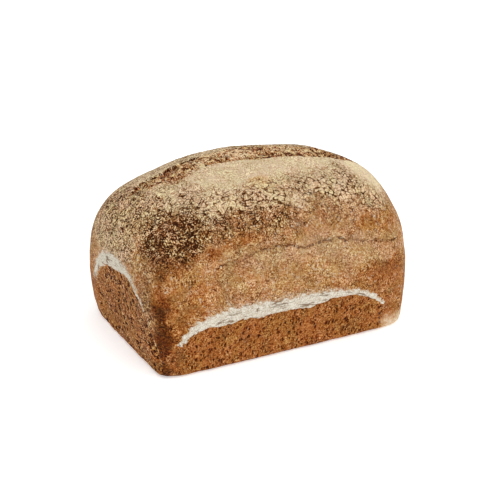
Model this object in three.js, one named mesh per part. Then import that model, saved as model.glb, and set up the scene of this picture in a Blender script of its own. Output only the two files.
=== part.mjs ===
// A whole wheat loaf baked in a tin: flour-dusted, slashed once along its crown, with an arch pressed into
// each side where the dough met the tin. Millimetres, +Z up. X runs along the loaf, -Y is the long front
// side, and the origin is the middle of the flat base.
import * as THREE from "three";
import { ImprovedNoise } from "three/addons/math/ImprovedNoise.js";
import { mergeVertices } from "three/addons/utils/BufferGeometryUtils.js";

// Driving dimensions.
const baseLength = 200;
const baseWidth = 133;
const belly = 8.8; // how far each side swells out past the base
const bellyHeight = 64; // where the loaf is widest
const loafHeight = 129.5;
const baseEdge = 4.5; // radius of the edge round the base

// The plan of the loaf is a superellipse, nearly square at the base and round at the crown. The crown is a
// dome whose long and short profiles are superellipses too.
const squarenessAtBase = 14;
const squarenessAtBelly = 4.6;
const squarenessAtCrown = 1.9;
const domeAlong = 2.75;
const domeAcross = 2.55;

// The slash: an opening along the crown between two edges, which are lines through places along and across
// the loaf. Its near edge dips, the torn crumb in it rises from there, and its far edge is a lip that stands
// over it. The crumb and the lip are lowest at the left end and highest from the middle on.
const slash = {
  nearEdge: [
    [-92, 6], [-84, 1], [-78, -4], [-72, -6], [-64, -5], [-56, -2.5], [-42, -2.5], [-30, -3], [-18, -4],
    [-9, -7], [8, -13], [26, -15], [48, -15.5], [66, -18], [78, -18], [88, -14],
  ],
  farEdge: [
    [-92, 6], [-82, 11], [-72, 13], [-64, 15.5], [-56, 19.5], [-48, 23], [-36, 24.5], [-26, 23], [-16, 21],
    [0, 21.5], [18, 20], [40, 12], [56, 6], [70, -1], [80, -8], [88, -14],
  ],
  easing: 4, // rounds off the corners of both edges
  narrowest: 0.8, // below this half width the slash is closed,
  open: 6, // and from this one on it's as deep as it gets
  edgeDrop: 1.3,
  crumbRise: { left: -1.6, right: 0.7 },
  lipRise: { left: 0.9, right: 0.6 },
  leftUntil: -60,
  rightFrom: -20,
  lipFade: 16, // how far behind the lip the crust comes back to the dome
};

// Broad dents in the dome.
const dents = [
  { centre: [-50, 30, 123], reach: 32, depth: 2.8 },
  { centre: [40, 8, 128], reach: 20, depth: 1.5 },
  { centre: [94, -45, 96], reach: 18, depth: 1.7 },
];

// The fold that runs along each long side above the arch. Its line drops by the droop at its far end and
// wavers.
const folds = [
  { side: -1, height: 82.5, droop: 9, depth: 1.2, halfWidth: 4.5, from: -66, to: 96 },
  { side: 1, height: 76.5, droop: 6, depth: 1, halfWidth: 4.5, from: -90, to: 52 },
];
const foldWaver = 1.2;
const foldWaverLength = 11;

// An arch on each side. Inside its line a band of baked-on flour stands out, and inside that the crust is
// flat and set back a little. The front and the back run along X and face Y, and the ends run along Y and
// face X.
const alongX = { along: "x", facing: "y" };
const alongY = { along: "y", facing: "x" };
const arches = [
  { ...alongX, side: -1, middle: -5, halfSpan: 85, foot: 18.3, rise: 29.2, squareness: 4.5, tilt: -0.045 },
  { ...alongX, side: 1, middle: 4, halfSpan: 82, foot: 17.5, rise: 33, squareness: 3.8, tilt: 0.03 },
  { ...alongY, side: -1, middle: -9, halfSpan: 54, foot: 17.5, rise: 57, squareness: 2.4, tilt: 0 },
  { ...alongY, side: 1, middle: 3, halfSpan: 52, foot: 15.5, rise: 51, squareness: 2.6, tilt: 0.02 },
];
const archInset = 1.3;
const archRoundness = 0.6; // the power that turns each arch down at its ends
const flourWidth = 8;
const flourHeight = 0.7;
const archEase = 3; // the width of the steps up to the flour and down to the flat crust

// Slow swells that make the dough uneven: how high they are, how long the wave is along X, Y and Z, and
// where it starts.
const swells = [
  { height: 0.55, waves: [150, 118, 131], start: 0.6 },
  { height: 0.4, waves: [-96, 83, 107], start: 2.1 },
  { height: 0.22, waves: [58, -71, 64], start: 4.4 },
];

// Lumps all over the crust, and larger ones in the torn crumb.
const crustLumps = { height: 0.4, size: 12 };
const crumbLumps = { height: 1.6, size: 7 };

// The net of faces over the loaf, and the box that it's cast from.
const netAlong = 52;
const netAcross = 36;
const netUp = 22;
const slashRows = 11; // rows of the net to each side of the slash's middle
const castTop = 110;
const spineHeight = 58;
const spineShare = 0.31; // the spine's length as a share of the loaf's
const footCrowding = 1.35; // crowds the rows of the net towards the base
const narrowestRows = 3; // the half width of the slash's rows where it's closed
const castSteps = 40;
const stillBelow = 1; // the relief starts at this height, and is whole from the next one on
const wholeAbove = 16;

const clamp01 = (value) => THREE.MathUtils.clamp(value, 0, 1);
const smooth = (value, from, to) => THREE.MathUtils.smoothstep(value, from, to);
const perlin = new ImprovedNoise();

function lumpsAt(point, { height, size }) {
  return height * perlin.noise(point.x / size, point.y / size, point.z / size);
}

// The loaf's half length, half width and squareness at a height.
function sectionAt(z) {
  const baked = clamp01(z / bellyHeight);
  const risen = clamp01((z - bellyHeight) / (loafHeight - bellyHeight));
  const swell = belly * Math.sin((baked * Math.PI) / 2);
  const edgeInset = baseEdge - Math.sqrt(baseEdge ** 2 - Math.max(baseEdge - z, 0) ** 2);
  const dome = (power) => (1 - risen ** power) ** (1 / power);
  return {
    halfLength: (baseLength / 2 + swell - edgeInset) * dome(domeAlong),
    halfWidth: (baseWidth / 2 + swell - edgeInset) * dome(domeAcross),
    squareness:
      risen > 0
        ? THREE.MathUtils.lerp(squarenessAtBelly, squarenessAtCrown, risen)
        : THREE.MathUtils.lerp(squarenessAtBase, squarenessAtBelly, Math.sqrt(baked)),
  };
}

function isInside(point) {
  if (point.z >= loafHeight) return false;
  const { halfLength, halfWidth, squareness } = sectionAt(point.z);
  return Math.abs(point.x / halfLength) ** squareness + Math.abs(point.y / halfWidth) ** squareness < 1;
}

// The point where the ray from a spine inside the loaf leaves it on the way to a point of the casting box.
function castOnLoaf(boxPoint) {
  const spine = new THREE.Vector3(boxPoint.x * spineShare, 0, Math.min(boxPoint.z, spineHeight));
  const point = new THREE.Vector3();
  let inside = 0;
  let outside = 2;
  for (let step = 0; step < castSteps; step++) {
    const share = (inside + outside) / 2;
    point.lerpVectors(spine, boxPoint, share);
    if (isInside(point)) inside = share;
    else outside = share;
  }
  return point;
}

// Where a line through knots of [x, y] is at an x, with its corners rounded off.
function lineAt(knots, x) {
  const straight = (at) => {
    const next = knots.findIndex(([knotX]) => knotX > at);
    if (next === 0) return knots[0][1];
    if (next < 0) return knots.at(-1)[1];
    const [startX, startY] = knots[next - 1];
    const [endX, endY] = knots[next];
    return THREE.MathUtils.mapLinear(at, startX, endX, startY, endY);
  };
  return (straight(x - slash.easing) + straight(x) + straight(x + slash.easing)) / 3;
}

// The slash's middle line, its half width, and how open it is, from 0 where it's closed to 1.
function slashAt(x) {
  const near = lineAt(slash.nearEdge, x);
  const far = lineAt(slash.farEdge, x);
  const halfWidth = (far - near) / 2;
  return { y: (near + far) / 2, halfWidth, openness: smooth(halfWidth, slash.narrowest, slash.open) };
}

// The share of the casting box's width at which a row of the net runs: the middle rows follow the slash's two
// edges.
function rowAcross(row, x) {
  const castWidth = baseWidth / 2 + belly;
  const towardsTop = (castTop - spineHeight) / (loafHeight - spineHeight);
  const { y, halfWidth } = slashAt(x);
  const room = Math.max(halfWidth, narrowestRows);
  const near = ((y - room) * towardsTop) / castWidth;
  const far = ((y + room) * towardsTop) / castWidth;
  const nearRow = -slashRows / netAcross;
  const farRow = slashRows / netAcross;
  if (row < nearRow) return THREE.MathUtils.mapLinear(row, -1, nearRow, -1, near);
  if (row > farRow) return THREE.MathUtils.mapLinear(row, farRow, 1, far, 1);
  return THREE.MathUtils.mapLinear(row, nearRow, farRow, near, far);
}

// The net over the loaf without its base: a box grid, whose points are cast on to the smooth loaf.
function smoothNet() {
  const box = new THREE.BoxGeometry(2, 2, 1, netAlong, netAcross, netUp);
  const base = box.groups.at(-1); // the face that looks down
  const open = box.clone().setIndex([...box.index.array].slice(0, base.start));
  const at = open.attributes.position;
  const halfLength = baseLength / 2 + belly;
  const halfWidth = baseWidth / 2 + belly;
  for (let i = 0; i < at.count; i++) {
    const up = at.getZ(i) + 0.5;
    const x = at.getX(i) * halfLength;
    const straight = at.getY(i);
    const onTop = smooth(up, 0.5, 1);
    const across = THREE.MathUtils.lerp(straight, rowAcross(straight, x), onTop);
    const point = castOnLoaf(new THREE.Vector3(x, across * halfWidth, castTop * up ** footCrowding));
    at.setXYZ(i, point.x, point.y, point.z);
  }
  open.deleteAttribute("normal");
  open.deleteAttribute("uv");
  open.clearGroups();
  return mergeVertices(open.toNonIndexed(), 1e-3); // this also drops the base's own vertices
}

// How far the slash lifts or lowers the crust, by the place across it: -1 at its near edge and 1 at its lip.
function slashRelief(point) {
  const { y, halfWidth, openness } = slashAt(point.x);
  if (openness <= 0 || point.z < bellyHeight) return 0;
  const place = (point.y - y) / Math.max(halfWidth, 1);
  const onLip = smooth(place, 0.92, 1.02);
  const within = smooth(place, -1.12, -0.95) * (1 - onLip);
  const toRight = smooth(point.x, slash.leftUntil, slash.rightFrom);
  const crumbRise = THREE.MathUtils.lerp(slash.crumbRise.left, slash.crumbRise.right, toRight);
  const lipRise = THREE.MathUtils.lerp(slash.lipRise.left, slash.lipRise.right, toRight);
  const floor = THREE.MathUtils.lerp(-slash.edgeDrop, crumbRise, smooth(place, -1, 0.8));
  const crumb = floor + lumpsAt(point, crumbLumps);
  const behind = Math.max(point.y - y - halfWidth, 0) / slash.lipFade;
  return openness * (within * crumb + onLip * lipRise * Math.exp(-2 * behind ** 2));
}

function dentRelief(point) {
  let relief = 0;
  for (const { centre, reach, depth } of dents) {
    const fromCentre = point.distanceTo(new THREE.Vector3(...centre)) / reach;
    relief -= depth * Math.exp(-(fromCentre ** 2));
  }
  return relief;
}

function foldRelief(point, normal) {
  let relief = 0;
  for (const fold of folds) {
    const along = THREE.MathUtils.mapLinear(point.x, fold.from, fold.to, 0, 1);
    const waver = foldWaver * Math.sin(point.x / foldWaverLength);
    const line = fold.height - fold.droop * clamp01(along) ** 3 + waver;
    const reach = smooth(along, 0, 0.12) * (1 - smooth(along, 0.9, 1));
    const facing = smooth(fold.side * normal.y, 0.5, 0.8);
    relief -= fold.depth * facing * reach * Math.exp(-(((point.z - line) / fold.halfWidth) ** 2));
  }
  return relief;
}

// How far a point is inside an arch's line. The line is where a^squareness + h^(1 / roundness) = 1, for the
// shares a along the arch and h up it, and the distance is that sum's shortfall over its slope.
function insideArch(point, arch) {
  const fromMiddle = point[arch.along] - arch.middle;
  const share = Math.abs(fromMiddle / arch.halfSpan);
  const up = Math.max((point.z - arch.foot - arch.tilt * fromMiddle) / arch.rise, 0);
  const power = 1 / archRoundness;
  const shortfall = 1 - share ** arch.squareness - up ** power;
  const slopeAlong = (arch.squareness * share ** (arch.squareness - 1)) / arch.halfSpan;
  const slopeUp = (power * up ** (power - 1)) / arch.rise;
  return shortfall / Math.max(Math.hypot(slopeAlong, slopeUp), 1e-4);
}

function archRelief(point, normal) {
  let relief = 0;
  for (const arch of arches) {
    const facing = smooth(arch.side * normal[arch.facing], 0.6, 0.9);
    const inside = insideArch(point, arch);
    const raised = smooth(inside, -archEase / 2, archEase / 2);
    const setBack = smooth(inside, flourWidth - archEase / 2, flourWidth + archEase / 2);
    relief += facing * (raised * flourHeight - setBack * (flourHeight + archInset));
  }
  return relief;
}

function swellRelief(point) {
  let relief = 0;
  for (const { height, waves, start } of swells) {
    const turn = 2 * Math.PI * (point.x / waves[0] + point.y / waves[1] + point.z / waves[2]);
    relief += height * Math.sin(turn + start);
  }
  return relief;
}

// Moves each point of the net out along its normal by the relief there. The lowest rows stay, so the base is
// flat.
function raiseRelief(net) {
  net.computeVertexNormals();
  const at = net.attributes.position;
  const facing = net.attributes.normal;
  const point = new THREE.Vector3();
  const normal = new THREE.Vector3();
  for (let i = 0; i < at.count; i++) {
    point.fromBufferAttribute(at, i);
    normal.fromBufferAttribute(facing, i);
    const dough = swellRelief(point) + dentRelief(point) + lumpsAt(point, crustLumps);
    const marks = slashRelief(point) + foldRelief(point, normal) + archRelief(point, normal);
    point.addScaledVector(normal, (dough + marks) * smooth(point.z, stillBelow, wholeAbove));
    at.setXYZ(i, point.x, point.y, point.z);
  }
  net.deleteAttribute("normal");
  return net;
}

// Closes the flat base with a fan from its middle, and centres the loaf over the origin.
function closeBase(net) {
  const at = net.attributes.position;
  const rim = [];
  for (let i = 0; i < at.count; i++) if (at.getZ(i) < 1e-3) rim.push(i);
  const turnOf = (i) => Math.atan2(at.getY(i), at.getX(i));
  rim.sort((a, b) => turnOf(a) - turnOf(b));
  const middle = at.count;
  const fan = rim.flatMap((corner, i) => [middle, rim[(i + 1) % rim.length], corner]);
  const closed = new THREE.BufferGeometry();
  closed.setAttribute("position", new THREE.Float32BufferAttribute([...at.array, 0, 0, 0], 3));
  closed.setIndex([...net.index.array, ...fan]);
  closed.computeBoundingBox();
  const { min, max } = closed.boundingBox;
  return closed.translate(-(min.x + max.x) / 2, -(min.y + max.y) / 2, -min.z);
}

function crustMaterial() {
  return new THREE.MeshStandardMaterial({ color: 0xb07a45, roughness: 0.85, metalness: 0 });
}

function makeLoaf() {
  const geometry = closeBase(raiseRelief(smoothNet()));
  geometry.computeVertexNormals();
  const loaf = new THREE.Mesh(geometry, crustMaterial());
  loaf.name = "loaf";
  return loaf;
}

const bread = new THREE.Group();
bread.add(makeLoaf());

export default bread;
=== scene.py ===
import bpy
import numpy as np
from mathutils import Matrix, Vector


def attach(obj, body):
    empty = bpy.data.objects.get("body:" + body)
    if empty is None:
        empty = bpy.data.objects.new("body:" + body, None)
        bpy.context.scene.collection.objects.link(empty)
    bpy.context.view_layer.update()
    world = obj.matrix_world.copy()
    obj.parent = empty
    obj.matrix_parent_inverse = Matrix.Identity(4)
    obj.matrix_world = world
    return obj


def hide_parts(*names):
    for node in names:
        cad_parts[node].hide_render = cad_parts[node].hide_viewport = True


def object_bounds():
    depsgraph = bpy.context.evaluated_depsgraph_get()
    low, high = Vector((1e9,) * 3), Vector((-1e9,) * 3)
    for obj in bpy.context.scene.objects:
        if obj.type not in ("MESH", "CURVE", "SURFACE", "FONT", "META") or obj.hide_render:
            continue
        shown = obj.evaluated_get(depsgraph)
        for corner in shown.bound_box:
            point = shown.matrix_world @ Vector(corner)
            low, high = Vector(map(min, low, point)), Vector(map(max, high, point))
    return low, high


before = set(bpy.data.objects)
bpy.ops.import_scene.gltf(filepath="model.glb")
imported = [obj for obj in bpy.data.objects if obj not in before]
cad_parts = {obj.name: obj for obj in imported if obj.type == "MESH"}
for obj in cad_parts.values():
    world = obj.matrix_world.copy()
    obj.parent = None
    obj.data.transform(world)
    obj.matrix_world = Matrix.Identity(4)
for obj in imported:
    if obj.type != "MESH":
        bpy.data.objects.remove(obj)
cadLow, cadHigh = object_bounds()
metre = 1000.0  # millimetres
np.seterr(over="ignore")  # the hashes below count past the end of their whole numbers
print("frame loaded:", [round(v, 4) for v in cadHigh - cadLow])


# Numbers over whole arrays

def clamp01(value):
    return np.clip(value, 0.0, 1.0)


def lerp(start, end, share):
    return start + (end - start) * share


def smooth(value, start, end):
    # 3t^2 - 2t^3, where t is how far value is from start to end
    t = clamp01((value - start) / (end - start))
    return t * t * (3.0 - 2.0 * t)


def bell(value, middle, halfWidth):
    # e^(-d^2), where d is how many half widths value is from the middle
    return np.exp(-(((value - middle) / halfWidth) ** 2))


def along(x, line):
    # the value at each x of a line given by its corners, which are pairs of an x and a value
    return np.interp(x, *zip(*line))


def hashOf(*numbers):
    # A hash of three or four float arrays, read as bits, from 0 to 1: the one that Blender's own textures
    # use. Its words are mixed by turning their bits and subtracting them from each other.
    keys = [np.ascontiguousarray(n, dtype=np.float32).view(np.uint32) for n in np.broadcast_arrays(*numbers)]
    allBits = 0xFFFFFFFF
    start = np.uint32((0xDEADBEEF + 4 * len(keys) + 13) & allBits)
    words = [key + start for key in keys[:3]]

    def turn(word, bits):
        return (word << np.uint32(bits)) | (word >> np.uint32(32 - bits))

    if len(keys) == 4:
        for i, bits in enumerate((4, 6, 8, 16, 19, 4)):
            a, b, c = i % 3, (i + 1) % 3, (i + 2) % 3
            words[a] = (words[a] - words[c]) ^ turn(words[c], bits)
            words[c] = words[c] + words[b]
        words[0] = words[0] + keys[3]
    for i, bits in enumerate((14, 11, 25, 16, 4, 14, 24)):
        a, b = (i + 2) % 3, (i + 1) % 3
        words[a] = (words[a] ^ words[b]) - turn(words[b], bits)
    return words[2] / float(allBits)


def cloud(points, size, seed, octaves=1):
    # Soft noise from -1 to 1: a random value at each corner of cubes of this size, blended across each cube.
    # Every further octave has cubes half as large and half the strength. The seed picks the pattern.
    total = np.zeros(len(points))
    for octave in range(octaves):
        at = points * (2.0**octave / size)
        corner = np.floor(at)
        t = at - corner
        t = t * t * (3.0 - 2.0 * t)
        for offset in np.ndindex(2, 2, 2):
            weight = np.prod(np.where(offset, t, 1.0 - t), axis=1)
            value = hashOf(*(corner + offset).T, float(seed + octave))
            total += weight * (2.0 * value - 1.0) * 0.5**octave
    return total


def drift(points, size, firstSeed, octaves):
    # a soft noise for each of x, y and z
    return np.stack([cloud(points, size, firstSeed + axis, octaves) for axis in range(3)], axis=1)


def cellsAt(points, size):
    # The cells of Blender's cell texture at Scale 1, for points divided by size: how far each point is from
    # the edge of its cell, in millimetres, how far it is from the cell's seed, in cells, and three random
    # numbers for the cell
    at = points / size
    corner = np.floor(at)
    towards = []
    nearest = np.full(len(at), np.inf)
    toNearest = np.zeros_like(at)
    chance = np.zeros_like(at)
    for offset in np.ndindex(3, 3, 3):
        cell = corner + np.array(offset) - 1.0
        seedPoint = np.stack([hashOf(*cell.T), hashOf(*cell.T, 1.0), hashOf(*cell.T, 2.0)], axis=1)
        toSeed = cell + seedPoint - at
        distance = (toSeed**2).sum(axis=1)
        closer = distance < nearest
        nearest = np.where(closer, distance, nearest)
        toNearest = np.where(closer[:, None], toSeed, toNearest)
        chance = np.where(closer[:, None], seedPoint, chance)
        towards.append(toSeed)
    edge = np.full(len(at), np.inf)
    tiny, sameCell = 1e-6, 0.01
    for toSeed in towards:
        between = toSeed - toNearest
        length = np.sqrt((between**2).sum(axis=1))
        halfway = ((toSeed + toNearest) * 0.5 * between).sum(axis=1) / np.maximum(length, tiny)
        edge = np.where(length > sameCell, np.minimum(edge, halfway), edge)
    return edge * size, np.sqrt(nearest), chance.T


# The loaf's smooth form

loaf = {
    "baseLength": 200.0,
    "baseWidth": 133.0,
    "belly": 8.8,  # how far each side swells out past the base
    "bellyHeight": 64.0,
    "height": 129.5,
    "baseEdge": 4.5,  # radius of the edge round the base
    "squarenessAtBase": 14.0,
    "squarenessAtBelly": 4.6,
    "squarenessAtCrown": 1.9,
    "domeAlong": 2.75,
    "domeAcross": 2.55,
}
bellyLength = loaf["baseLength"] / 2 + loaf["belly"]
bellyWidth = loaf["baseWidth"] / 2 + loaf["belly"]


def sectionAt(z):
    # half length, half width and squareness at a height: the sides swell as a quarter sine up to the belly,
    # and each half shrinks above it as (1 - t^p)^(1/p)
    baked = clamp01(z / loaf["bellyHeight"])
    risen = clamp01((z - loaf["bellyHeight"]) / (loaf["height"] - loaf["bellyHeight"]))
    swell = loaf["belly"] * np.sin(baked * np.pi / 2)
    edge = loaf["baseEdge"]
    swell = swell - edge + np.sqrt(np.maximum(edge**2 - np.maximum(edge - z, 0.0) ** 2, 0.0))
    halves = [
        (loaf[side] / 2 + swell) * (1.0 - risen ** loaf[dome]) ** (1.0 / loaf[dome])
        for side, dome in (("baseLength", "domeAlong"), ("baseWidth", "domeAcross"))
    ]
    squareness = np.where(
        risen > 0,
        lerp(loaf["squarenessAtBelly"], loaf["squarenessAtCrown"], risen),
        lerp(loaf["squarenessAtBase"], loaf["squarenessAtBelly"], np.sqrt(baked)),
    )
    return halves[0], halves[1], squareness


def outside(points):
    # |x / half length|^n + |y / half width|^n - 1: below 0 inside the loaf
    *halves, squareness = sectionAt(points[:, 2])
    tiny, far = 1e-4, 1e3
    shares = [np.abs(points[:, axis]) / np.maximum(half, tiny) for axis, half in enumerate(halves)]
    return sum(np.minimum(share, far) ** squareness for share in shares) - 1.0


def castFrom(starts, ends):
    # the point where the line from a start inside the loaf through an end leaves it, found by halving
    low = np.zeros(len(starts))
    high = np.full(len(starts), 2.0)
    halvings = 34
    for _ in range(halvings):
        share = (low + high) / 2
        inside = outside(lerp(starts, ends, share[:, None])) < 0
        low = np.where(inside, share, low)
        high = np.where(inside, high, share)
    return lerp(starts, ends, low[:, None])


def formNormals(points):
    # the direction in which the outside measure grows fastest, from differences a little to each side
    step = 0.02
    slopes = []
    for axis in range(3):
        shift = np.zeros(3)
        shift[axis] = step
        ahead = outside(points + shift * (axis != 2))
        slopes.append(ahead - outside(points - shift))
    slopes[2] *= 2.0  # only looks down, because there is nothing above the crown
    normals = np.stack(slopes, axis=1)
    return normals / np.maximum(np.linalg.norm(normals, axis=1, keepdims=True), 1e-9)


# The slash, the folds and the arches

slash = {
    # the near and far edges: places along and across the loaf
    "near": ((-92, 6), (-84, 1), (-78, -4), (-72, -6), (-64, -5), (-56, -2.5), (-42, -2.5), (-30, -3),
             (-18, -4), (-9, -7), (8, -13), (26, -15), (48, -15.5), (66, -18), (78, -18), (88, -14)),
    "far": ((-92, 6), (-82, 11), (-72, 13), (-64, 15.5), (-56, 19.5), (-48, 23), (-36, 24.5), (-26, 23),
            (-16, 21), (0, 21.5), (18, 20), (40, 12), (56, 6), (70, -1), (80, -8), (88, -14)),
    "easing": 4.0,  # rounds off the edges' corners
    "opens": (0.8, 6.0),  # the half widths between which it opens
    "ragged": (1.7, 7.0),  # how far its edges wander, and the size of the wander
    "edgeDrop": 1.3,  # the crumb lies this far down at the near edge
    "crumbLumps": (1.0, 5.0),  # height and size
    "gap": (0.93, 0.06),  # place across the slash and half width of the gap under the lip
    "torn": (-1.1, 0.09),  # and of the crust that is torn up along the near edge
    "tornRise": 0.5,
    "crumbStart": (-1.05, -0.93),  # places across the slash between which the crumb begins and ends
    "crumbEnd": (0.95, 1.0),
    "crumbSlope": (-1.1, 0.8),  # and between which it rises
    "lipStart": (0.96, 1.0),
    "lipFade": 16.0,
    "lipRagged": (0.5, 5.0),
    "overhang": 1.8,
    # these three have a value at the left end and one from the middle on, and leftEnd says where they change
    "crumbRise": (-1.6, 0.7),  # how far the crumb stands up under the lip
    "gapDepth": (2.0, 0.8),
    "lipRise": (0.9, 0.6),
    "leftEnd": (-60.0, -20.0),
    # how light the crumb is, by the place along the loaf
    "crumbTone": ((-86, 0.4), (-60, 0.42), (-48, 0.48), (-36, 0.6), (-22, 0.71), (-6, 0.72), (4, 0.62),
                  (12, 0.44), (20, 0.52), (30, 0.69), (42, 0.61), (55, 0.49), (86, 0.45)),
}

# line gives each fold's height by the place along the loaf
folds = [
    {"side": -1, "depth": 1.2, "halfWidth": 4.5,
     "line": ((-68, 79), (-51, 80), (-33, 84.5), (-16, 87.5), (-4, 87), (4, 83.5), (10, 83.5), (20, 85),
              (36, 84), (52, 80.5), (70, 75), (96, 71))},
    {"side": 1, "depth": 1.0, "halfWidth": 4.5,
     "line": ((-90, 76), (-62, 78), (-30, 75), (0, 76.5), (28, 72), (52, 70))},
]
foldShape = {
    "wander": (1.1, 6.0),  # how far the line wanders, and the size of the wander
    "crease": (0.5, 1.1),  # depth, as a share of the fold's, and half width
    "shelf": (0.5, 5.0),  # the crust above the line stands out this far, and falls back over this distance
    "shelfEdge": 0.6,
    "facing": (0.5, 0.8),  # how far the crust faces sideways where the fold begins and is full
    "ends": (0.12, 0.9),  # the shares of its length between which the fold is full
    "darkEnds": (0.08, 0.92),  # and between which its line of painted shade in the crease is
}

# tilt lowers each arch's line along the loaf, and pitted is how dark the pores under it are. flour says how
# wide the band of flour under the line is, by the place along the arch from -1 to 1, and the band has flour
# from the share start of the arch to the share end.
longSide = {"along": 0, "facing": 1}
shortSide = {"along": 1, "facing": 0}
arches = {
    "Front": {**longSide, "side": -1, "middle": -5.0, "halfSpan": 85.0, "foot": 18.3, "rise": 29.2,
              "squareness": 4.5, "tilt": -0.045, "pitted": 0.75, "start": 0.03, "end": 0.94,
              "flour": ((-1, 2), (-0.94, 5), (-0.85, 7), (-0.75, 8), (-0.66, 11.5), (-0.6, 12.5),
                        (-0.5, 11.5), (-0.38, 11.5), (-0.3, 12.5), (0.2, 12), (0.3, 11), (0.42, 7.5),
                        (0.52, 5.6), (0.75, 4.4), (0.9, 3.3), (1, 1.5))},
    "Back": {**longSide, "side": 1, "middle": 4.0, "halfSpan": 82.0, "foot": 17.5, "rise": 33.0,
             "squareness": 3.8, "tilt": 0.03, "pitted": 0.8, "start": 0.08, "end": 0.9,
             "flour": ((-1, 1.5), (-0.85, 4), (-0.6, 8), (-0.45, 6.5), (0.1, 10.5), (0.35, 12),
                       (0.6, 8.5), (0.9, 5), (1, 2))},
    "Left": {**shortSide, "side": -1, "middle": -9.0, "halfSpan": 54.0, "foot": 17.5, "rise": 57.0,
             "squareness": 2.4, "tilt": 0.0, "pitted": 1.45, "start": 0.19, "end": 0.86,
             "flour": ((-1, 0.8), (-0.88, 1.1), (-0.7, 2), (-0.5, 4.5), (-0.3, 8), (0.1, 12.5),
                       (0.4, 11), (0.7, 7.5), (0.85, 4), (1, 2))},
    "Right": {**shortSide, "side": 1, "middle": 3.0, "halfSpan": 52.0, "foot": 15.5, "rise": 51.0,
              "squareness": 2.6, "tilt": 0.02, "pitted": 1.1, "start": 0.1, "end": 0.88,
              "flour": ((-1, 2), (-0.7, 6), (-0.45, 11), (-0.2, 9), (0.2, 10.5), (0.4, 7),
                        (0.8, 3.5), (1, 1.5))},
}
archShape = {
    "roundness": 0.6,
    "inset": 1.3,  # how far the crust inside the flour lies back
    "insetFrom": (-0.8, 1.6),  # distances from the flour's edge between which it falls back
    "insetFacing": (0.6, 0.9),  # how far the crust faces outwards where the arch begins and is full
    "facing": (0.55, 0.75),  # the same for its colours
    "dustFrom": (8.0, 24.0),  # heights over the foot between which the flour above the line begins
    "lessDust": (2.0, 9.0, 3.5),  # and it is narrower above a band of these widths, by up to this
}

swells = [
    {"height": 0.55, "waves": (150.0, 118.0, 131.0), "start": 0.6},
    {"height": 0.4, "waves": (-96.0, 83.0, 107.0), "start": 2.1},
    {"height": 0.22, "waves": (58.0, -71.0, 64.0), "start": 4.4},
]

# broad dents, each as deep as this at its centre and fading as a bell over its reach
dents = [
    {"centre": (-50.0, 30.0, 123.0), "reach": 32.0, "depth": 2.8},
    {"centre": (40.0, 8.0, 128.0), "reach": 20.0, "depth": 1.5},
    {"centre": (94.0, -45.0, 96.0), "reach": 18.0, "depth": 1.7},
]
lumps = {"height": 0.17, "size": 6.0}
# how unevenly the lowest part runs in and out
baseWaver = {"depth": 0.7, "size": 9.0, "heights": (1.0, 16.0)}
onlyAlong = (1.0, 0.0, 0.0)  # for noise that changes only along the loaf


def slashAt(x):
    # middle line, half width and openness. Each edge is the mean of its line a little to the left, here and
    # a little to the right.
    shifts = (-slash["easing"], 0.0, slash["easing"])
    near, far = (sum(along(x + shift, slash[edge]) for shift in shifts) / 3 for edge in ("near", "far"))
    halfWidth = (far - near) / 2
    return (near + far) / 2, halfWidth, smooth(halfWidth, *slash["opens"])


def slashFields(points):
    # the ragged place across the slash, -1 at its near edge and 1 at its lip, its half width and its
    # openness
    middle, halfWidth, openness = slashAt(points[:, 0])
    distance, size = slash["ragged"]
    ragged = distance * cloud(points * (1.0, 0.2, 0.2), size, 11, 3) * openness
    place = (points[:, 1] - middle + ragged) / np.maximum(halfWidth, 1.0)
    return place, halfWidth, np.where(points[:, 2] > loaf["bellyHeight"], openness, 0.0)


def fadeAtEnds(share, start, end):
    # 1 from the share start to the share end, falling to 0 at both ends
    return smooth(share, 0.0, start) * (1.0 - smooth(share, end, 1.0))


def foldDistance(points, fold):
    # how far above the fold's line a point is, and the share of the fold's length that lies before it
    start, end = fold["line"][0][0], fold["line"][-1][0]
    distance, size = foldShape["wander"]
    line = along(points[:, 0], fold["line"]) + distance * cloud(points * onlyAlong, size, 21, 3)
    return points[:, 2] - line, (points[:, 0] - start) / (end - start)


def archInside(arch, points):
    # How far inside the arch's line a point is, and how wide its flour is there. The line is where
    # |a|^squareness + h^(1/roundness) = 1, for the shares a along and h up the arch, and the distance is
    # that sum's shortfall over its slope.
    fromMiddle = points[:, arch["along"]] - arch["middle"]
    signed = fromMiddle / arch["halfSpan"]
    share = np.abs(signed)
    up = np.maximum((points[:, 2] - arch["foot"] - arch["tilt"] * fromMiddle) / arch["rise"], 0.0)
    power = 1.0 / archShape["roundness"]
    shortfall = 1.0 - share ** arch["squareness"] - up**power
    slopeAlong = arch["squareness"] * share ** (arch["squareness"] - 1.0) / arch["halfSpan"]
    slopeUp = power * up ** (power - 1.0) / arch["rise"]
    inside = shortfall / np.maximum(np.hypot(slopeAlong, slopeUp), 1e-4)
    return np.clip(inside, -30.0, 60.0), along(signed, arch["flour"])


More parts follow.
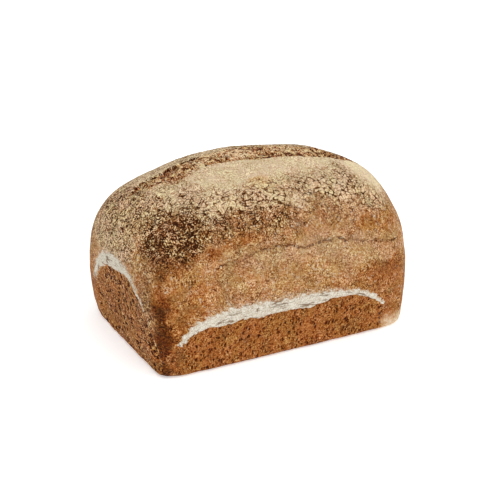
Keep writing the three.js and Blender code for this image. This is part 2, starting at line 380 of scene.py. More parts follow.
def slashRelief(points):
    # The crumb rises from the near edge to the lip, with lumps on it and a gap under the lip. Crust is torn
    # up along the near edge. The lip stands up, and it also hangs forward over the slash.
    place, halfWidth, openness = slashFields(points)
    fromLeft = smooth(points[:, 0], *slash["leftEnd"])
    within = smooth(place, *slash["crumbStart"]) * (1.0 - smooth(place, *slash["crumbEnd"]))
    slope = smooth(place, *slash["crumbSlope"])
    crumb = lerp(-slash["edgeDrop"], lerp(*slash["crumbRise"], fromLeft), slope)
    height, size = slash["crumbLumps"]
    crumb += height * cloud(points * (0.6, 1.0, 1.0), size, 31, 4)
    gap = -lerp(*slash["gapDepth"], fromLeft) * bell(place, *slash["gap"])
    torn = slash["tornRise"] * bell(place, *slash["torn"])
    height, size = slash["lipRagged"]
    onLip = smooth(place, *slash["lipStart"]) * (1.0 + height * cloud(points * onlyAlong, size, 33, 3))
    behind = np.maximum((place - 1.0) * halfWidth, 0.0) / slash["lipFade"]
    lip = lerp(*slash["lipRise"], fromLeft) * onLip * np.exp(-2.0 * behind**2)
    forward = slash["overhang"] * onLip * np.exp(-4.0 * behind)
    return openness * (within * crumb + gap + lip + torn), openness * forward


def crustSurface(points, normals):
    # Every relief that stands on the smooth form. Each is a distance along the normal, and the lip is also
    # pushed forward over the slash. The lowest few millimetres stay, so the base is flat.
    relief = lumps["height"] * cloud(points, lumps["size"], 61, 3)
    for swell in swells:
        turns = (points / np.array(swell["waves"])).sum(axis=1)
        relief += swell["height"] * np.sin(2 * np.pi * turns + swell["start"])

    for dent in dents:
        relief -= dent["depth"] * bell(np.linalg.norm(points - dent["centre"], axis=1), 0.0, dent["reach"])

    for fold in folds:
        distance, share = foldDistance(points, fold)
        reach = fadeAtEnds(share, *foldShape["ends"])
        facing = smooth(fold["side"] * normals[:, 1], *foldShape["facing"])
        depth, halfWidth = foldShape["crease"]
        valley = bell(distance, 0.0, fold["halfWidth"]) + depth * bell(distance, 0.0, halfWidth)
        height, fade = foldShape["shelf"]
        edge = foldShape["shelfEdge"]
        shelf = height * smooth(distance, -edge, edge) * np.exp(-np.maximum(distance, 0.0) / fade)
        relief += facing * reach * (shelf - fold["depth"] * valley)

    for arch in arches.values():
        inside, flour = archInside(arch, points)
        facing = smooth(arch["side"] * normals[:, arch["facing"]], *archShape["insetFacing"])
        relief -= archShape["inset"] * facing * smooth(inside - flour, *archShape["insetFrom"])

    atSlash, forward = slashRelief(points)
    offBase = smooth(points[:, 2], *baseWaver["heights"])
    waver = baseWaver["depth"] * cloud(points, baseWaver["size"], 71, 3) * (1.0 - offBase)
    moved = points + normals * ((relief + atSlash) * offBase)[:, None]
    moved[:, 1] -= forward
    moved[:, :2] *= 1.0 - waver[:, None] / bellyLength
    return moved


# The fields that say how the crust is baked and floured: tone is how light it is, warm how orange, cream
# how floury, crack how deep its cracks are, coarse how large the plates between them, grit how strong its
# grain, and chalk how much white flour lies on it

fieldsOfCrust = ("tone", "warm", "cream", "crack", "coarse", "grit", "chalk")
plainFoot = dict(tone=0.46, warm=0.9, cream=0.0, crack=0.25, coarse=0.0, grit=0.95, chalk=0.0)
plainSide = dict(tone=0.56, warm=0.5, cream=0.05, crack=0.3, coarse=0.0, grit=0.9, chalk=0.0)
plainCrown = dict(tone=0.7, warm=0.15, cream=0.6, crack=1.0, coarse=0.5, grit=1.0, chalk=0.0)
sideHeights = (32.0, 60.0)  # where the foot's values give way to the side's
crownHeights = (92.0, 110.0)  # and the side's to the crown's
roaming = (5.0, 15.0)  # how far the patches' outlines wander, and the size of the wander


def patch(centre, reach, **fields):
    return {"centre": centre, "reach": reach, **fields}


patches = {
    # the front's crown and shoulder
    "crackled shoulder": patch(
        (-2, -55, 115), (60, 13, 12), tone=0.7, warm=0.25, cream=0.5, crack=0.95, coarse=0.9, grit=1.2),
    "crackled right shoulder": patch(
        (64, -54, 102), (28, 12, 11), tone=0.69, warm=0.4, cream=0.4, crack=0.95, coarse=0.8, grit=1.3),
    "smooth flour": patch(
        (0, -20, 129), (84, 23, 14), tone=0.785, cream=1, crack=0.06, coarse=0.5, grit=0.75),
    "smooth right flour": patch((80, -28, 111), (20, 22, 19), tone=0.85, cream=1, crack=0.08, grit=0.5),
    "rust along the slash": patch(
        (-58, -3, 119), (22, 8, 9), tone=0.52, warm=0.8, cream=0.15, crack=0.5, grit=2),
    "egg yellow": patch((-12, -42, 124), (9, 7, 7), tone=0.76, warm=0.7, cream=0.1),
    "left dome": patch(
        (-95, 5, 102), (20, 48, 20), tone=0.63, warm=0.65, cream=0.35, crack=1.25, coarse=0.5, grit=2.7),
    "brown belt": patch(
        (-42, -64, 103), (58, 10, 10), tone=0.45, warm=0.45, cream=0.2, crack=0.85, coarse=0.45, grit=1.4),
    "rust behind the dust": patch(
        (30, -64, 103), (24, 9, 9), tone=0.5, warm=0.6, cream=0.1, crack=0.4, coarse=0.6, chalk=0.1),
    "dust": patch((10, -61, 110), (9, 7, 9), tone=0.68, cream=0.5, crack=0.4, chalk=0.35),
    "dark shoulder": patch(
        (-84, -51, 96), (24, 17, 17), tone=0.265, warm=0.5, cream=0.2, crack=0.95, coarse=0.4, grit=3),
    "darkest": patch((-89, -58, 87), (10, 9, 12), tone=0.32, warm=0.5, cream=0),
    # the front's side
    "orange right shoulder": patch(
        (72, -64, 90), (24, 12, 9), tone=0.52, warm=1, cream=0, crack=0.4, coarse=0.3),
    "orange under the belt": patch((-38, -70, 94), (14, 6, 6), tone=0.46, warm=0.9),
    "orange by the dark shoulder": patch((-62, -71, 86), (8, 5, 6), tone=0.4, warm=0.95),
    "pale under the fold": patch((16, -74, 81), (58, 7, 9), tone=0.595, warm=0.4, cream=0.25, chalk=0.12),
    "pale right side": patch((58, -74, 66), (30, 8, 11), tone=0.62, warm=0.5, cream=0.2),
    "bare left front": patch(
        (-80, -70, 58), (17, 10, 24), tone=0.49, warm=0.85, cream=0, crack=0.15, grit=0.85),
    "bare left foot": patch((-84, -68, 26), (14, 10, 24), tone=0.42, warm=0.9, cream=0, grit=0.95),
    "bare above the band": patch((74, -71, 51), (24, 9, 9), tone=0.43, warm=0.95, cream=0),
    "corner": patch((-101, -65, 34), (8, 8, 56), tone=0.22, warm=0.6, cream=0, crack=0.1, grit=0.6),
    "spilt flour": patch((90, -64, 2), (12, 12, 12), tone=0.77, cream=1, crack=0, grit=0.35, chalk=0.78),
    # the left end
    "dusty left brow": patch((-107, 8, 82), (9, 36, 13), tone=0.7, warm=0.3, cream=0.4, crack=0.9, grit=2.6),
    "left of the corner": patch(
        (-105, -50, 58), (8, 13, 26), tone=0.42, warm=0.4, cream=0.1, crack=0.25, grit=1.25, chalk=0.1),
    # the back
    "flap behind the slash": patch(
        (-52, 29, 120), (44, 16, 16), tone=0.79, cream=0.8, crack=0.8, coarse=0.4, grit=1.4),
    "crackled back shoulder": patch(
        (-10, 50, 116), (66, 14, 12), tone=0.6, cream=0.55, crack=1, coarse=0.8),
    "smooth back flour": patch((34, 38, 122), (34, 12, 12), tone=0.72, cream=0.9, crack=0.1, grit=0.4),
    "dark back shoulder": patch((78, 52, 94), (22, 15, 16), tone=0.4, cream=0.2, crack=0.8, grit=1.4),
    "brown back belt": patch(
        (10, 64, 100), (70, 9, 9), tone=0.47, warm=0.3, cream=0.2, crack=0.7, coarse=0.4),
    "orange back": patch((-50, 68, 86), (26, 10, 10), tone=0.48, warm=0.9, cream=0),
    "pale back": patch((24, 72, 74), (40, 8, 9), tone=0.6, cream=0.3),
    "back corner": patch((97, 60, 38), (9, 9, 46), tone=0.36, warm=0.9, cream=0),
    "far back corner": patch((-98, 62, 42), (8, 8, 40), tone=0.4, warm=0.8, cream=0),
    # the right end
    "dusty right brow": patch((106, 4, 76), (9, 34, 12), tone=0.6, cream=0.35, crack=0.5, grit=1.2),
    "orange right end": patch((104, -40, 68), (10, 18, 18), tone=0.48, warm=0.9),
}


def blob(points, centre, reach):
    # 1 inside an ellipsoid and 0 outside it, fading across a soft rim
    rim = 0.45
    distance = np.linalg.norm((points - np.array(centre, float)) / np.array(reach, float), axis=1)
    return 1.0 - smooth(distance, 1.0 - rim, 1.0 + rim)


def crustFields(points, normals):
    # The foot, the sides and the crown each have plain values, mixed by height, and each patch mixes its
    # own in
    distance, size = roaming
    roamed = points + distance * drift(points, size, 41, 4)
    belly = smooth(roamed[:, 2], *sideHeights)
    crown = smooth(roamed[:, 2], *crownHeights)
    fields = {
        name: lerp(lerp(plainFoot[name], plainSide[name], belly), plainCrown[name], crown)
        for name in fieldsOfCrust
    }
    for spot in patches.values():
        share = blob(roamed, spot["centre"], spot["reach"])
        for name in fieldsOfCrust:
            if name in spot:
                fields[name] = lerp(fields[name], spot[name], share)

    # rim is how far a point is inside the line of its arch, and panel is how far it is inside that arch's
    # flour
    far = -20.0
    fields["rim"] = np.full(len(points), far)
    fields["panel"] = np.full(len(points), far)
    fields["pitted"] = np.full(len(points), arches["Front"]["pitted"])
    for arch in arches.values():
        inside, flour = archInside(arch, points)
        facing = smooth(arch["side"] * normals[:, arch["facing"]], *archShape["facing"])
        aboveFoot = smooth(points[:, 2] - arch["foot"], *archShape["dustFrom"])
        thin, wide, most = archShape["lessDust"]
        narrower = most * (1.0 - smooth(flour, thin, wide))
        fields["rim"] = np.maximum(fields["rim"], lerp(far, inside - narrower, facing * aboveFoot))
        fields["panel"] = np.maximum(fields["panel"], lerp(far, inside - flour, facing))
        fields["pitted"] = lerp(fields["pitted"], arch["pitted"], facing)

    # the fold's distance is for a thin line of painted shade along its crease, and the slash's place for its
    # crumb
    fields["fold"] = np.full(len(points), 10.0)
    for fold in folds:
        distance, share = foldDistance(points, fold)
        reach = fadeAtEnds(share, *foldShape["darkEnds"])
        onIt = (reach > 0.5) & (fold["side"] * normals[:, 1] > 0.4)
        fields["fold"] = np.where(onIt, distance, fields["fold"])
    place, _, openness = slashFields(points)
    fields["slash"] = np.where(openness > 0.02, place, -9.0)
    fields["crumb"] = along(points[:, 0], slash["crumbTone"])
    return fields


# Meshes

def meshObject(name, points, faces, fields, place):
    # A mesh from points in millimetres and faces of three or four corners. Each field is a number for each
    # point, and place is the vector that its material's patterns are worked out from.
    mesh = bpy.data.meshes.new(name)
    mesh.vertices.add(len(points))
    mesh.vertices.foreach_set("co", (points / metre).astype(np.float32).ravel())
    corners = np.concatenate([np.ravel(block) for block in faces]).astype(np.int32)
    sizes = np.concatenate([np.full(len(block), block.shape[1], np.int32) for block in faces])
    mesh.loops.add(len(corners))
    mesh.loops.foreach_set("vertex_index", corners)
    mesh.polygons.add(len(sizes))
    mesh.polygons.foreach_set("loop_start", (np.cumsum(sizes) - sizes).astype(np.int32))
    mesh.polygons.foreach_set("use_smooth", np.ones(len(sizes), bool))
    for field, values in fields.items():
        layer = mesh.attributes.new(field, "FLOAT", "POINT")
        layer.data.foreach_set("value", values.astype(np.float32))
    layer = mesh.attributes.new("place", "FLOAT_VECTOR", "POINT")
    layer.data.foreach_set("vector", place.astype(np.float32).ravel())
    mesh.update(calc_edges=True)
    mesh.validate()
    made = bpy.data.objects.new(name, mesh)
    bpy.context.scene.collection.objects.link(made)
    return made


def gridFaces(index, closed=False):
    # four-cornered faces between neighbouring rows and columns of an array of point numbers
    if closed:
        index = np.concatenate([index, index[:, :1]], axis=1)
    corners = (index[:-1, :-1], index[:-1, 1:], index[1:, 1:], index[1:, :-1])
    return np.stack([c.ravel() for c in corners], axis=1)


def fanFaces(middle, ring):
    # three-cornered faces from one point to each neighbouring pair of a row of points
    return np.stack([np.full(len(ring) - 1, middle), ring[1:], ring[:-1]], axis=1)


# The crust: a box of rows and columns, cast outwards on to the loaf, then given its relief

net = {
    "along": 214,
    "across": 150,
    "up": 89,
    "castTop": 110.0,
    "spineHeight": 58.0,
    "spineShare": 0.31,
    "footCrowding": 1.25,
    # how much further out the crown's points land than where they start on the box
    "stretchAlong": 1.25,
    "stretchAcross": 1.385,
    # what share of the rows lies before each place across the slash, so that they crowd at its edges
    "rowsAtSlash": ((0.38, -1.2), (0.42, -0.9), (0.56, 0.8), (0.63, 1.1)),
    "leastSlash": 4.0,  # the rows keep this half width where the slash is narrower
    "baseRings": (0.97, 0.8, 0.45),
}


def rowAcross(row, x):
    # Where a row of the crown's net runs across the box: straight stretches between the knots, which are the
    # box's edges and the places at the slash
    middle, halfWidth, _ = slashAt(x * net["stretchAlong"])
    room = np.maximum(halfWidth, net["leastSlash"])
    shares = [0.0] + [share for share, _ in net["rowsAtSlash"]] + [1.0]
    knots = [(middle + place * room) / net["stretchAcross"] for _, place in net["rowsAtSlash"]]
    knots = [-bellyWidth] + knots + [bellyWidth]
    across = np.full(np.broadcast(row, x).shape, -bellyWidth)
    for start, end, low, high in zip(shares, shares[1:], knots, knots[1:]):
        across = across + (high - low) * clamp01(((row + 1) / 2 - start) / (end - start))
    return across


def crustNet():
    # the crown is a grid over x and y, and the wall is a closed band of columns under its rim
    alongShare = np.linspace(-1, 1, net["along"] + 1)
    acrossShare = np.linspace(-1, 1, net["across"] + 1)
    rows, columns = np.meshgrid(acrossShare, alongShare, indexing="ij")
    count = rows.size
    index = np.arange(count).reshape(rows.shape)
    rim = np.concatenate([index[0, :-1], index[:-1, -1], index[-1, :0:-1], index[:0:-1, 0]])
    ups = np.linspace(1, 0, net["up"] + 1)[1:]
    wallUp = np.repeat(ups, len(rim))
    allRows = np.concatenate([rows.ravel(), np.tile(rows.ravel()[rim], len(ups))])
    allColumns = np.concatenate([columns.ravel(), np.tile(columns.ravel()[rim], len(ups))])
    up = np.concatenate([np.ones(count), wallUp])

    x = allColumns * bellyLength
    y = lerp(allRows * bellyWidth, rowAcross(allRows, x), smooth(up, 0.5, 1.0))
    ends = np.stack([x, y, net["castTop"] * up ** net["footCrowding"]], axis=1)
    starts = np.stack([x * net["spineShare"], 0 * y, np.minimum(ends[:, 2], net["spineHeight"])], axis=1)
    wall = np.vstack([rim, count + np.arange(len(wallUp)).reshape(len(ups), len(rim))])
    return castFrom(starts, ends), [gridFaces(index), gridFaces(wall[::-1], closed=True)], wall[-1]


def closeBase(points, faces, rim):
    # rings that shrink towards the middle of the flat base, then a fan
    points[rim, 2] = 0.0
    ring = rim
    blocks = list(faces)
    for share in net["baseRings"]:
        fresh = len(points) + np.arange(len(rim))
        points = np.vstack([points, points[rim] * (share, share, 1.0)])
        blocks.append(gridFaces(np.stack([fresh, ring]), closed=True))
        ring = fresh
    blocks.append(fanFaces(len(points), np.append(ring, ring[0])))
    return np.vstack([points, [0.0, 0.0, 0.0]]), blocks


# gap is how wide the cracks are, as a share of the plates' size, and edge is how many gaps from the middle
# of a crack a plate begins to rise and reaches its height. The plates' pattern is warped and drawn out a
# little.
plates = {"sizes": (3.9, 2.4, 1.3), "height": 0.34, "gap": 0.075, "edge": (0.4, 2.4), "warp": 1.3,
          "warpSize": 8.0, "drawn": (1.0, 0.85, 0.95)}
pores = {"size": 2.3, "radius": 0.37, "amount": 0.9, "stretch": (1.0, 0.62, 0.58), "depth": 0.6}
speckRadii = (0.5, 0.7)  # a speck has the first share of the largest radius, and up to the second one more
cadMiddle = np.array((cadLow + cadHigh) / 2) * metre


def makeCrust():
    base, faces, rim = crustNet()
    normals = formNormals(base)
    fields = crustFields(base, normals)
    place = (base + plates["warp"] * drift(base, plates["warpSize"], 51, 3)) * plates["drawn"]

    size = plates["sizes"][0]
    edge, _, _ = cellsAt(place, size)
    onPlate = smooth(edge, *(gaps * plates["gap"] * size for gaps in plates["edge"]))
    cracked = smooth(fields["coarse"], 0.2, 0.8) * smooth(fields["crack"], 0.1, 0.8)
    lift = plates["height"] * onPlate * cracked
    _, toSeed, chance = cellsAt(place * pores["stretch"], pores["size"])
    least, more = speckRadii
    radius = pores["radius"] * (least + more * chance[1])
    hole = smooth(radius - toSeed, -0.07, 0.1) * (chance[0] < pores["amount"])
    lift -= pores["depth"] * hole * smooth(fields["panel"], 0.0, 2.0) * smooth(base[:, 2], 1.0, 6.0)

    points = crustSurface(base, normals) + normals * lift[:, None]
    points, faces = closeBase(points, faces, rim)
    # the box is centred where the CAD's is
    shift = (cadMiddle - (points.min(axis=0) + points.max(axis=0)) / 2) * (1.0, 1.0, 0.0)
    extra = len(points) - len(base)
    for name, values in fields.items():
        fields[name] = np.concatenate([values, np.full(extra, values[rim].mean())])
    place = np.vstack([place, points[len(base):]])
    return meshObject("crust", points + shift, faces, fields, place), shift


crust, shift = makeCrust()
print("crust:", len(crust.data.polygons), "faces")


# The bands of flour: a strip along each arch's line, with ragged edges that dip under the crust

band = {
    "samples": 900,
    "spacing": 0.45,
    "rows": 34,
    "margin": 2.2,  # the strip runs this far past both edges of the flour
    "height": 0.75,
    "skirt": 0.7,  # how steeply it dips under the crust
    "ragged": 1.9,
    "raggedSizes": (2.6, 3.2),  # of the upper and lower edges
    "edgeWidths": (1.4, 0.5),  # how wide the slopes at the upper and lower edges are
    "endFade": 3.0,
    "uneven": (0.25, 5.0),
}


def onSide(arch, place, z):
    # the point of the smooth form at a place on one of its four sides: w (1 - |a / l|^n)^(1/n) from the
    # middle
    halves = sectionAt(z)
    power = halves[2]
    out = halves[arch["facing"]] * (1.0 - np.abs(place / halves[arch["along"]]) ** power) ** (1.0 / power)
    points = np.zeros((len(place), 3))
    points[:, arch["along"]] = place
    points[:, arch["facing"]] = arch["side"] * out
    points[:, 2] = z
    return points


def archLine(arch):
    # evenly spaced points along the arch's line, and how far along it each is
    turn = np.pi * np.linspace(1.0 - arch["start"], 1.0 - arch["end"], band["samples"])
    share = np.sign(np.cos(turn)) * np.abs(np.cos(turn)) ** (2.0 / arch["squareness"])
    fromMiddle = arch["halfSpan"] * share
    up = arch["rise"] * np.sin(turn) ** (2.0 * archShape["roundness"])
    up += arch["foot"] + arch["tilt"] * fromMiddle
    line = np.stack([arch["middle"] + fromMiddle, up], axis=1)
    length = np.concatenate([[0.0], np.cumsum(np.linalg.norm(np.diff(line, axis=0), axis=1))])
    steps = np.linspace(0.0, length[-1], int(length[-1] / band["spacing"]))
    return np.stack([np.interp(steps, length, line[:, i]) for i in (0, 1)], axis=1), steps


def makeBand(name, arch, seed):
    line, steps = archLine(arch)
    tangent = np.gradient(line, axis=0)
    tangent /= np.linalg.norm(tangent, axis=1, keepdims=True)
    inward = np.stack([tangent[:, 1], -tangent[:, 0]], axis=1)
    width = along((line[:, 0] - arch["middle"]) / arch["halfSpan"], arch["flour"])[:, None]

    reach = lerp(-band["margin"], width + band["margin"], np.linspace(0.0, 1.0, band["rows"]))
    flat = line[:, None, :] + inward[:, None, :] * reach[:, :, None]
    base = onSide(arch, flat[..., 0].ravel(), flat[..., 1].ravel())
    normals = formNormals(base)
    depth = np.minimum(steps, steps[-1] - steps)[:, None] - band["endFade"]
    edges = zip((reach, width - reach), band["raggedSizes"], band["edgeWidths"], (seed, seed + 9))
    for inside, size, edgeWidth, edgeSeed in edges:
        ragged = band["ragged"] * cloud(base, size, edgeSeed, 3).reshape(reach.shape)
        depth = np.minimum(depth, (inside + ragged) / edgeWidth)
    share, size = band["uneven"]
    full = band["height"] * (1.0 + share * cloud(base, size, seed + 18, 2).reshape(reach.shape))
    height = np.where(depth > 0, full * (1.0 - np.exp(-depth)), np.maximum(depth, -1.0) * band["skirt"])
    points = crustSurface(base, normals) + normals * height.ravel()[:, None] + shift

    index = np.arange(len(points)).reshape(reach.shape)
    if arch["side"] * (1 if arch["along"] == 1 else -1) < 0:
        index = index[:, ::-1]
    under = index[:, [-1, 0]]
    faces = [gridFaces(index), gridFaces(under)]
    faces += [fanFaces(row[0], row[1:]) for row in (index[0], index[-1, ::-1])]
    where = np.stack([np.repeat(steps, band["rows"]), reach.ravel(), np.full(len(points), seed)], axis=1)
    return meshObject(name, points, [block[:, ::-1] for block in faces], {"depth": depth.ravel()}, where)


bandPieces = [
    makeBand("flourBand" + side, arch, 70 + 3 * number) for number, (side, arch) in enumerate(arches.items())
]
print("bands:", sum(len(piece.data.polygons) for piece in bandPieces), "faces")


# Node helpers

class Value:
    # an output of a node: sums and products of values make further nodes, and so do the methods below
    def __init__(self, tree, socket):
        self.tree = tree
        self.socket = socket

    def calc(self, operation, *others):
        return add(self.tree, "ShaderNodeMath", dict(enumerate((self, *others))), operation=operation)[0]

    def __add__(self, other):
        return self.calc("ADD", other)

    def __sub__(self, other):
        return self.calc("SUBTRACT", other)

    def __rsub__(self, other):
        return add(self.tree, "ShaderNodeMath", {0: other, 1: self}, operation="SUBTRACT")[0]

    def __mul__(self, other):
        return self.calc("MULTIPLY", other)

    def __abs__(self):
        return self.calc("ABSOLUTE")

    def limited(self):
        return self.calc("MAXIMUM", 0.0).calc("MINIMUM", 1.0)

    def eased(self, start, end, low=0.0, high=1.0):
        # eases from low to high as the value goes from start to end
        settings = {"Value": self, "From Min": start, "From Max": end, "To Min": low, "To Max": high}
        return add(self.tree, "ShaderNodeMapRange", settings, interpolation_type="SMOOTHSTEP")["Result"]

    def mix(self, first, second):
        # the first number where this value is 0, and the second where it is 1
        return add(self.tree, "ShaderNodeMix", {0: self, 2: first, 3: second})[0]

    def mixColour(self, first, second, blend="MIX"):
        inputs = {0: self, 6: first, 7: second}
        return add(self.tree, "ShaderNodeMix", inputs, data_type="RGBA", blend_type=blend)[2]


class Node:
    # a node, whose outputs are read as values
    def __init__(self, tree, kind):
        self.tree = tree
        self.node = tree.nodes.new(kind)

    def __getitem__(self, name):
        return Value(self.tree, self.node.outputs[name])


def feed(socket, value):
    # links a value into the socket, or sets the socket's own
    if isinstance(value, Value):
        value.tree.links.new(value.socket, socket)
    else:
        socket.default_value = value


def add(tree, kind, inputs=None, **settings):
    made = Node(tree, kind)
    for name, value in settings.items():
        setattr(made.node, name, value)
    for name, value in (inputs or {}).items():
        feed(made.node.inputs[name], value)
    return made


def noise(vector, size, detail=2.0, roughness=0.55, output="Fac"):
    inputs = {"Vector": vector, "Scale": 1.0 / size, "Detail": detail, "Roughness": roughness}
    return add(vector.tree, "ShaderNodeTexNoise", inputs)[output]


def spreadNoise(vector, size, detail, roughness, start=0.3, end=0.7):
    # noise whose usual range is spread to run from -1 to 1
    return noise(vector, size, detail, roughness).eased(start, end, -1.0, 1.0)


def onVector(operation, *values):
    return add(values[0].tree, "ShaderNodeVectorMath", dict(enumerate(values)), operation=operation)[0]


def field(tree, name, output="Fac"):
    return add(tree, "ShaderNodeAttribute", attribute_name=name)[output]


def srgb(red, green, blue):
    # a colour as a screen shows it, as the linear values that a shader takes
    shown = np.array([red, green, blue]) / 255.0
    linear = np.where(shown <= 0.04045, shown / 12.92, ((shown + 0.055) / 1.055) ** 2.4)
    return (*linear.tolist(), 1.0)


def colourRamp(value, stops):
    # each stop is its place and a colour as a screen shows it
    ramp = add(value.tree, "ShaderNodeValToRGB", {"Fac": value})
    elements = ramp.node.color_ramp.elements
    while len(elements) < len(stops):
        elements.new(0.5)
    for element, (position, *colour) in zip(elements, stops):
        element.position = position
        element.color = srgb(*colour)
    return ramp["Color"]


def bump(height):
    # the height is in millimetres
    inputs = {"Height": height, "Strength": 0.9, "Distance": 1.0 / metre}
    return add(height.tree, "ShaderNodeBump", inputs)["Normal"]


def newGroup(name, inputs, outputs):
    # a node group with these sockets, its input values and its output sockets
    group = bpy.data.node_groups.new(name, "ShaderNodeTree")
    kinds = {"vector": "NodeSocketVector", "value": "NodeSocketFloat"}
    for label, kind in inputs.items():
        group.interface.new_socket(label, in_out="INPUT", socket_type=kinds[kind])
    for label, kind in outputs.items():
        group.interface.new_socket(label, in_out="OUTPUT", socket_type=kinds[kind])
    return group, Node(group, "NodeGroupInput"), Node(group, "NodeGroupOutput").node.inputs


def useGroup(group, inputs):
    return add(inputs["Place"].tree, "ShaderNodeGroup", inputs, node_tree=group)


def newMaterial(name):
    material = bpy.data.materials.new(name)
    material.use_nodes = True
    return material, material.node_tree, material.node_tree.nodes["Principled BSDF"].inputs


def setAll(sockets, values):
    for name, value in values.items():
        feed(sockets[name], value)


# Effects that several materials share

def cellsOf(place, size, **settings):
    # the cell texture with cells of this size
    shrink = add(place.tree, "ShaderNodeMath", {0: 1.0, 1: size}, operation="DIVIDE")[0]
    scaled = add(place.tree, "ShaderNodeVectorMath", {0: place, "Scale": shrink}, operation="SCALE")[0]
    return add(place.tree, "ShaderNodeTexVoronoi", {"Vector": scaled, "Scale": 1.0}, **settings)


def makePlateGroup():
    # Cracked plates: Mask is 0 in the cracks between the cells and 1 on each cell, and Tint is a random
    # number for each cell. Gap is how wide the cracks are, and it varies over the surface.
    group, given, result = newGroup(
        "cracked plates",
        {"Place": "vector", "Size": "value", "Gap": "value"},
        {"Mask": "value", "Tint": "value"},
    )
    place, size = given["Place"], given["Size"]
    fromEdge = cellsOf(place, size, feature="DISTANCE_TO_EDGE")["Distance"] * size
    gap = given["Gap"] * noise(place, 3.0).eased(0.4, 0.62, 0.0, 1.6)
    feed(result["Mask"], fromEdge.eased(gap * 0.5, gap * 1.3 + 0.02))
    chance = add(group, "ShaderNodeSeparateColor", {"Color": cellsOf(place, size)["Color"]})
    feed(result["Tint"], chance["Green"])
    return group


def makeSpeckGroup():
    # round specks: each cell has one with a random radius up to Radius, when its random number is below
    # Amount
    group, given, result = newGroup(
        "specks",
        {"Place": "vector", "Size": "value", "Amount": "value", "Radius": "value"},
        {"Mask": "value"},
    )
    cell = cellsOf(given["Place"], given["Size"])
    chance = add(group, "ShaderNodeSeparateColor", {"Color": cell["Color"]})
    least, more = speckRadii
    radius = given["Radius"] * (chance["Green"] * more + least)
    spot = (radius - cell["Distance"]).eased(-0.06, 0.06)
    feed(result["Mask"], spot * (given["Amount"] - chance["Red"]).eased(-0.02, 0.02))
    return group


plateGroup = makePlateGroup()
speckGroup = makeSpeckGroup()


# The crust's material

warmTones = ((0.1, 58, 18, 0), (0.21, 102, 42, 0), (0.29, 124, 61, 10), (0.36, 143, 77, 22),
             (0.43, 161, 96, 41), (0.48, 175, 112, 57), (0.55, 188, 130, 72), (0.6, 199, 144, 88),
             (0.66, 211, 160, 106), (0.84, 241, 206, 160))
dustyTones = ((0.1, 46, 20, 0), (0.21, 80, 46, 16), (0.275, 101, 62, 31), (0.345, 125, 80, 41),
              (0.41, 143, 97, 57), (0.46, 155, 110, 70), (0.52, 168, 125, 85), (0.6, 187, 148, 107),
              (0.69, 206, 171, 131), (0.85, 237, 212, 178))
creamTones = ((0.14, 64, 30, 4), (0.29, 107, 69, 34), (0.385, 133, 93, 57), (0.47, 154, 116, 80),
              (0.575, 178, 142, 105), (0.66, 199, 165, 128), (0.72, 210, 182, 149), (0.76, 214, 192, 159),
              (0.84, 230, 210, 178), (0.95, 255, 235, 193))
chalkTones = ((0.0, 168, 134, 100), (0.4, 206, 178, 146), (0.75, 224, 202, 174), (1.0, 240, 222, 198))

# patches of the crust are a little yellower, or rosier, and the slash's crumb is redder where it is dark
tints = ((0.98, 1.02, 0.88, 1.0), (1.04, 0.96, 0.94, 1.0))
crumbTint = (1.06, 0.9, 0.8, 1.0)

# the size, detail and roughness of each noise, and which range of it is spread
crustNoises = {
    "broad": (15.0, 2.0, 0.55, 0.3, 0.7),
    "middle": (4.0, 2.0, 0.6, 0.3, 0.7),
    "fine": (1.5, 2.0, 0.75, 0.34, 0.66),
    "sand": (0.8, 0.0, 0.55, 0.34, 0.66),
}
jitter = {"size": 1.6, "reach": 0.8}  # makes the plates' edges uneven
crumb = {"warm": 0.95, "crack": 0.85, "coarse": 0.42, "grit": 2.9}
panel = {"tone": 0.455, "warm": 1.0, "cream": 0.0, "crack": 0.1}
specks = {
    "largePores": {"Size": pores["size"], "Amount": pores["amount"], "Radius": pores["radius"]},
    "smallPores": {"Size": 1.4, "Amount": 0.5, "Radius": 0.4},
    "grains": {"Size": 1.6, "Radius": 0.5},
    "bran": {"Size": 2.2, "Amount": 0.25, "Radius": 0.3},
}
# how much lighter or darker each pattern makes the crust, and how high each stands in millimetres
grainTones = (0.09, 0.13, 0.17, 0.02)  # fine noise, sand, flakes and middle noise
markTones = (-0.6, -0.36, -0.12, -0.32, -0.45)  # cracks, pores, bran, and the painted shade in the fold's crease and under the lip
heights = (0.16, 0.08, 0.1, 0.12, -0.45, -0.5, -0.6)  # fine, sand, middle, grains, cracks, pores, fold


def weighted(patterns, weights):
    total = None
    for pattern, weight in zip(patterns, weights):
        total = pattern * weight if total is None else total + pattern * weight
    return total


